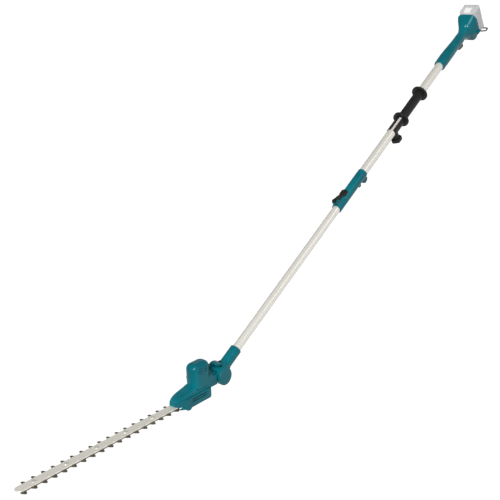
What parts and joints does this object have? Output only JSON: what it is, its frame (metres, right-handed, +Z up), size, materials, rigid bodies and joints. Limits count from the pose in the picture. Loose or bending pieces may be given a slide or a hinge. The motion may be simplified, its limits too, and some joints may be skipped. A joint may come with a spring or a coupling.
{
  "type": "pole hedge trimmer",
  "caption": "Cordless telescopic pole hedge trimmer: tilting head with reciprocating toothed blades, sliding front grip, trigger handle and lift-off battery.",
  "frame": {"origin": "on the pole's axis, in the middle of the bare stretch of the thick tube between the sleeve and the front grip, where a hanging clip or hand holds the tool", "axes": "+X runs along the pole from the blades towards the battery, +Z is up with the battery and motor upright, +Y is to the left of a user who looks along the pole towards the blades"},
  "size_m": [2.1279, 0.074, 0.3491],
  "materials": {
    "teal_plastic": "moulded",
    "black_plastic": "moulded",
    "grip_plastic": "fine grain",
    "pole_alloy": "satin",
    "bar_steel": "brushed",
    "blade_steel": "ground",
    "gear_steel": "machined",
    "fastener_steel": "zinc plated",
    "motor_steel": "drawn",
    "wire_black": "enamelled",
    "battery_plastic": "moulded",
    "label_white": "smooth",
    "lamp_clear": "smooth"
  },
  "bodies": {
    "outer_pole": {"outer_tube": "pole_alloy", "pole_sleeve": "teal_plastic", "lever_pin": "fastener_steel", "clamp_shoe": "black_plastic", "handle_left": "teal_plastic", "handle_right": "teal_plastic", "handle_screws": "fastener_steel", "switch_body": "black_plastic", "indicator_lamps": "lamp_clear", "battery_hoop": "wire_black", "battery_rails": "black_plastic"},
    "inner_pole": {"inner_tube": "pole_alloy", "hinge_bracket": "teal_plastic", "hinge_caps": "teal_plastic", "hinge_bolt": "fastener_steel", "socket_screw": "fastener_steel"},
    "head": {"head_left": "teal_plastic", "head_right": "teal_plastic", "gear_case": "teal_plastic", "base_cover": "black_plastic", "head_screws": "fastener_steel", "motor": "motor_steel", "crank_axle": "fastener_steel", "crank_bush": "fastener_steel", "guard_bar": "bar_steel", "blade_bolts": "fastener_steel", "blade_guide": "black_plastic"},
    "crank": {"crank_gear": "gear_steel"},
    "rotor": {"pinion": "gear_steel"},
    "long_blade": {"upper_blade": "blade_steel"},
    "short_blade": {"lower_blade": "blade_steel"},
    "angle_slider": {"angle_lock": "black_plastic"},
    "pole_lever": {"lock_lever": "black_plastic"},
    "grip": {"front_grip": "grip_plastic", "grip_clamp": "grip_plastic"},
    "knob": {"grip_knob": "black_plastic"},
    "trigger_lever": {"trigger": "black_plastic"},
    "battery": {"battery_case": "battery_plastic", "battery_label": "label_white", "charge_button": "label_white"}
  },
  "joints": [
    {"name": "telescope", "type": "slide", "parent": "outer_pole", "child": "inner_pole", "axis": [1, 0, 0], "range_m": [0, 0.4]},
    {"name": "head_tilt", "type": "hinge", "parent": "inner_pole", "child": "head", "pos_m": [-0.862, 0, 0], "axis": [0, 1, 0], "range_deg": [-100.5, 14.5]},
    {"name": "crank_turn", "type": "hinge", "parent": "head", "child": "crank", "pos_m": [-0.94454, 0, 0.04862], "axis": [0.5075, 0, 0.8616], "range_deg": [-170.5, 11]},
    {"name": "motor_turn", "type": "hinge", "parent": "head", "child": "rotor", "pos_m": [-0.9249, 0, 0.03705], "axis": [0.5075, 0, 0.8616], "range_deg": [-44, 682]},
    {"name": "long_blade_stroke", "type": "slide", "parent": "head", "child": "long_blade", "axis": [-0.8616, 0, 0.5075], "range_m": [-0.00075, 0.01225]},
    {"name": "short_blade_stroke", "type": "slide", "parent": "head", "child": "short_blade", "axis": [-0.8616, 0, 0.5075], "range_m": [-0.0123, 0.0008]},
    {"name": "angle_release", "type": "slide", "parent": "inner_pole", "child": "angle_slider", "axis": [1, 0, 0], "range_m": [0, 0.004], "stiffness_N_per_m": 500, "springref_m": -0.003},
    {"name": "pole_lock", "type": "hinge", "parent": "outer_pole", "child": "pole_lever", "pos_m": [-0.238, 0, 0.0235], "axis": [0, -1, 0], "range_deg": [0, 100]},
    {"name": "grip_shift", "type": "slide", "parent": "outer_pole", "child": "grip", "axis": [1, 0, 0], "range_m": [-0.15, 0.12]},
    {"name": "knob_turn", "type": "hinge", "parent": "grip", "child": "knob", "pos_m": [0.108, 0, -0.03], "axis": [0, 0, 1], "continuous": true},
    {"name": "trigger_press", "type": "slide", "parent": "outer_pole", "child": "trigger_lever", "axis": [0, 0, 1], "range_m": [0, 0.0028], "stiffness_N_per_m": 1200, "springref_m": -0.002},
    {"name": "battery_lift", "type": "slide", "parent": "outer_pole", "child": "battery", "axis": [0, 0, 1], "range_m": [0, 0.095]}
  ],
  "couplings": [
    {"joint": "crank_turn", "follows": "long_blade_stroke", "rad_per_m": -241.66},
    {"joint": "motor_turn", "follows": "long_blade_stroke", "rad_per_m": 966.64},
    {"joint": "short_blade_stroke", "follows": "long_blade_stroke", "ratio": -1}
  ]
}
